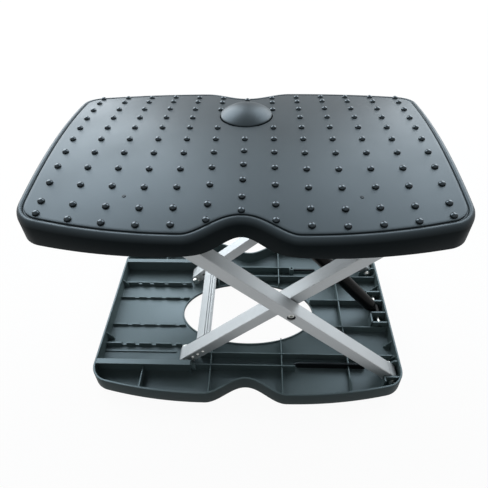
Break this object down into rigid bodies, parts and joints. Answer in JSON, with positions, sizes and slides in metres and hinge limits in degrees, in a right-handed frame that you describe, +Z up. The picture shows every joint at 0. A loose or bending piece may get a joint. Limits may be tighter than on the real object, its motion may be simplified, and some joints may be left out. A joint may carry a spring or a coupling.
{
  "type": "tilting under-desk footrest",
  "caption": "Studded rocking foot platform on a scissor frame with a gas spring, foot button and ribbed base tray.",
  "frame": {"origin": "middle of the footprint at floor level", "axes": "+Z up; -Y is the user's side; +X is to the user's right, where the frame's fixed hinges are"},
  "size_m": [0.464, 0.324, 0.348],
  "materials": {
    "platform_plastic": "satin moulded, dark cool grey",
    "tray_plastic": "moulded, dark grey",
    "black_plastic": "moulded, black",
    "foot_rubber": "matt",
    "leg_aluminium": "satin anodised",
    "bright_steel": "bright plated steel",
    "black_steel": "semi-gloss black",
    "black_sheet": "powder-coated black"
  },
  "bodies": {
    "base": {"base_tray": "tray_plastic", "rubber_foot_front_left": "foot_rubber", "rubber_foot_front_right": "foot_rubber", "rubber_foot_rear_left": "foot_rubber", "rubber_foot_rear_right": "foot_rubber", "hinge_pin_front": "bright_steel", "hinge_pin_rear": "bright_steel", "gas_spring_pin": "bright_steel"},
    "outer_frame": {"outer_leg_front": "leg_aluminium", "outer_leg_rear": "leg_aluminium", "outer_leg_top_cap_front": "leg_aluminium", "outer_leg_top_cap_rear": "leg_aluminium", "outer_leg_foot_cap_front": "leg_aluminium", "outer_leg_foot_cap_rear": "leg_aluminium", "pivot_bolt_front": "bright_steel", "pivot_bolt_rear": "bright_steel", "pivot_washer_front": "black_plastic", "pivot_washer_rear": "black_plastic", "upper_axle": "bright_steel", "outer_cross_member": "leg_aluminium"},
    "inner_frame": {"inner_leg_front": "leg_aluminium", "inner_leg_rear": "leg_aluminium", "inner_leg_foot_cap_front": "leg_aluminium", "inner_leg_foot_cap_rear": "leg_aluminium", "inner_leg_top_cap_front": "leg_aluminium", "inner_leg_top_cap_rear": "leg_aluminium", "lower_bolt_front": "bright_steel", "lower_bolt_rear": "bright_steel", "lower_nut_front": "bright_steel", "lower_nut_rear": "bright_steel", "leg_screw_front_1": "bright_steel", "leg_screw_front_2": "bright_steel", "leg_screw_front_3": "bright_steel", "leg_screw_rear_1": "bright_steel", "leg_screw_rear_2": "bright_steel", "leg_screw_rear_3": "bright_steel", "inner_cross_member": "leg_aluminium"},
    "carrier": {"carrier_rail_front": "black_sheet", "carrier_rail_rear": "black_sheet", "upper_hinge_pin_front": "bright_steel", "upper_hinge_pin_rear": "bright_steel", "tilt_bracket_left": "black_sheet", "tilt_bracket_right": "black_sheet", "spring_bracket": "black_sheet"},
    "rocking_platform": {"platform": "platform_plastic", "button_guide": "black_plastic", "button_spring": "bright_steel", "tilt_pin_left": "bright_steel", "tilt_pin_right": "bright_steel", "tilt_friction_disc_left": "black_plastic", "tilt_friction_disc_right": "black_plastic", "lever_pin": "bright_steel"},
    "button": {"foot_button": "platform_plastic"},
    "lever": {"release_lever": "bright_steel"},
    "cylinder": {"gas_cylinder": "black_steel", "cylinder_collar": "black_plastic"},
    "rod": {"piston_rod": "bright_steel", "release_head": "black_steel", "release_head_pin": "bright_steel"}
  },
  "joints": [
    {"name": "lift", "type": "hinge", "parent": "base", "child": "outer_frame", "pos_m": [0.212, 0, 0.0126], "axis": [0, 1, 0], "range_deg": [-34.4, 0]},
    {"name": "scissor_pivot", "type": "hinge", "parent": "outer_frame", "child": "inner_frame", "pos_m": [0.05914, 0, 0.15218], "axis": [0, 1, 0], "range_deg": [0, 68.8]},
    {"name": "carrier_pivot", "type": "hinge", "parent": "inner_frame", "child": "carrier", "pos_m": [0.212, 0, 0.29176], "axis": [0, 1, 0], "range_deg": [-34.4, 0]},
    {"name": "tilt", "type": "hinge", "parent": "carrier", "child": "rocking_platform", "pos_m": [0, 0, 0.31096], "axis": [1, 0, 0], "range_deg": [-8, 8]},
    {"name": "button_press", "type": "slide", "parent": "rocking_platform", "child": "button", "axis": [0, 0, -1], "range_m": [0, 0.005], "stiffness_N_per_m": 2000, "springref_m": -0.002, "deforming": ["button_spring"]},
    {"name": "lever_swing", "type": "hinge", "parent": "rocking_platform", "child": "lever", "pos_m": [-0.031, -0.045, 0.31697], "axis": [-1, 0, 0], "range_deg": [0, 2.85]},
    {"name": "cylinder_pivot", "type": "hinge", "parent": "base", "child": "cylinder", "pos_m": [0.212, 0.008, 0.0126], "axis": [0, 1, 0], "range_deg": [-34.6, 0]},
    {"name": "rod_slide", "type": "slide", "parent": "cylinder", "child": "rod", "axis": [-0.6441, 0, 0.7649], "range_m": [-0.1256, 0]}
  ],
  "couplings": [
    {"joint": "scissor_pivot", "follows": "lift", "ratio": -2},
    {"joint": "carrier_pivot", "follows": "lift", "ratio": 1},
    {"joint": "cylinder_pivot", "follows": "lift", "ratio": 1.0023},
    {"joint": "rod_slide", "follows": "lift", "m_per_rad": 0.20849},
    {"joint": "lever_swing", "follows": "button_press", "rad_per_m": 9.8039}
  ]
}
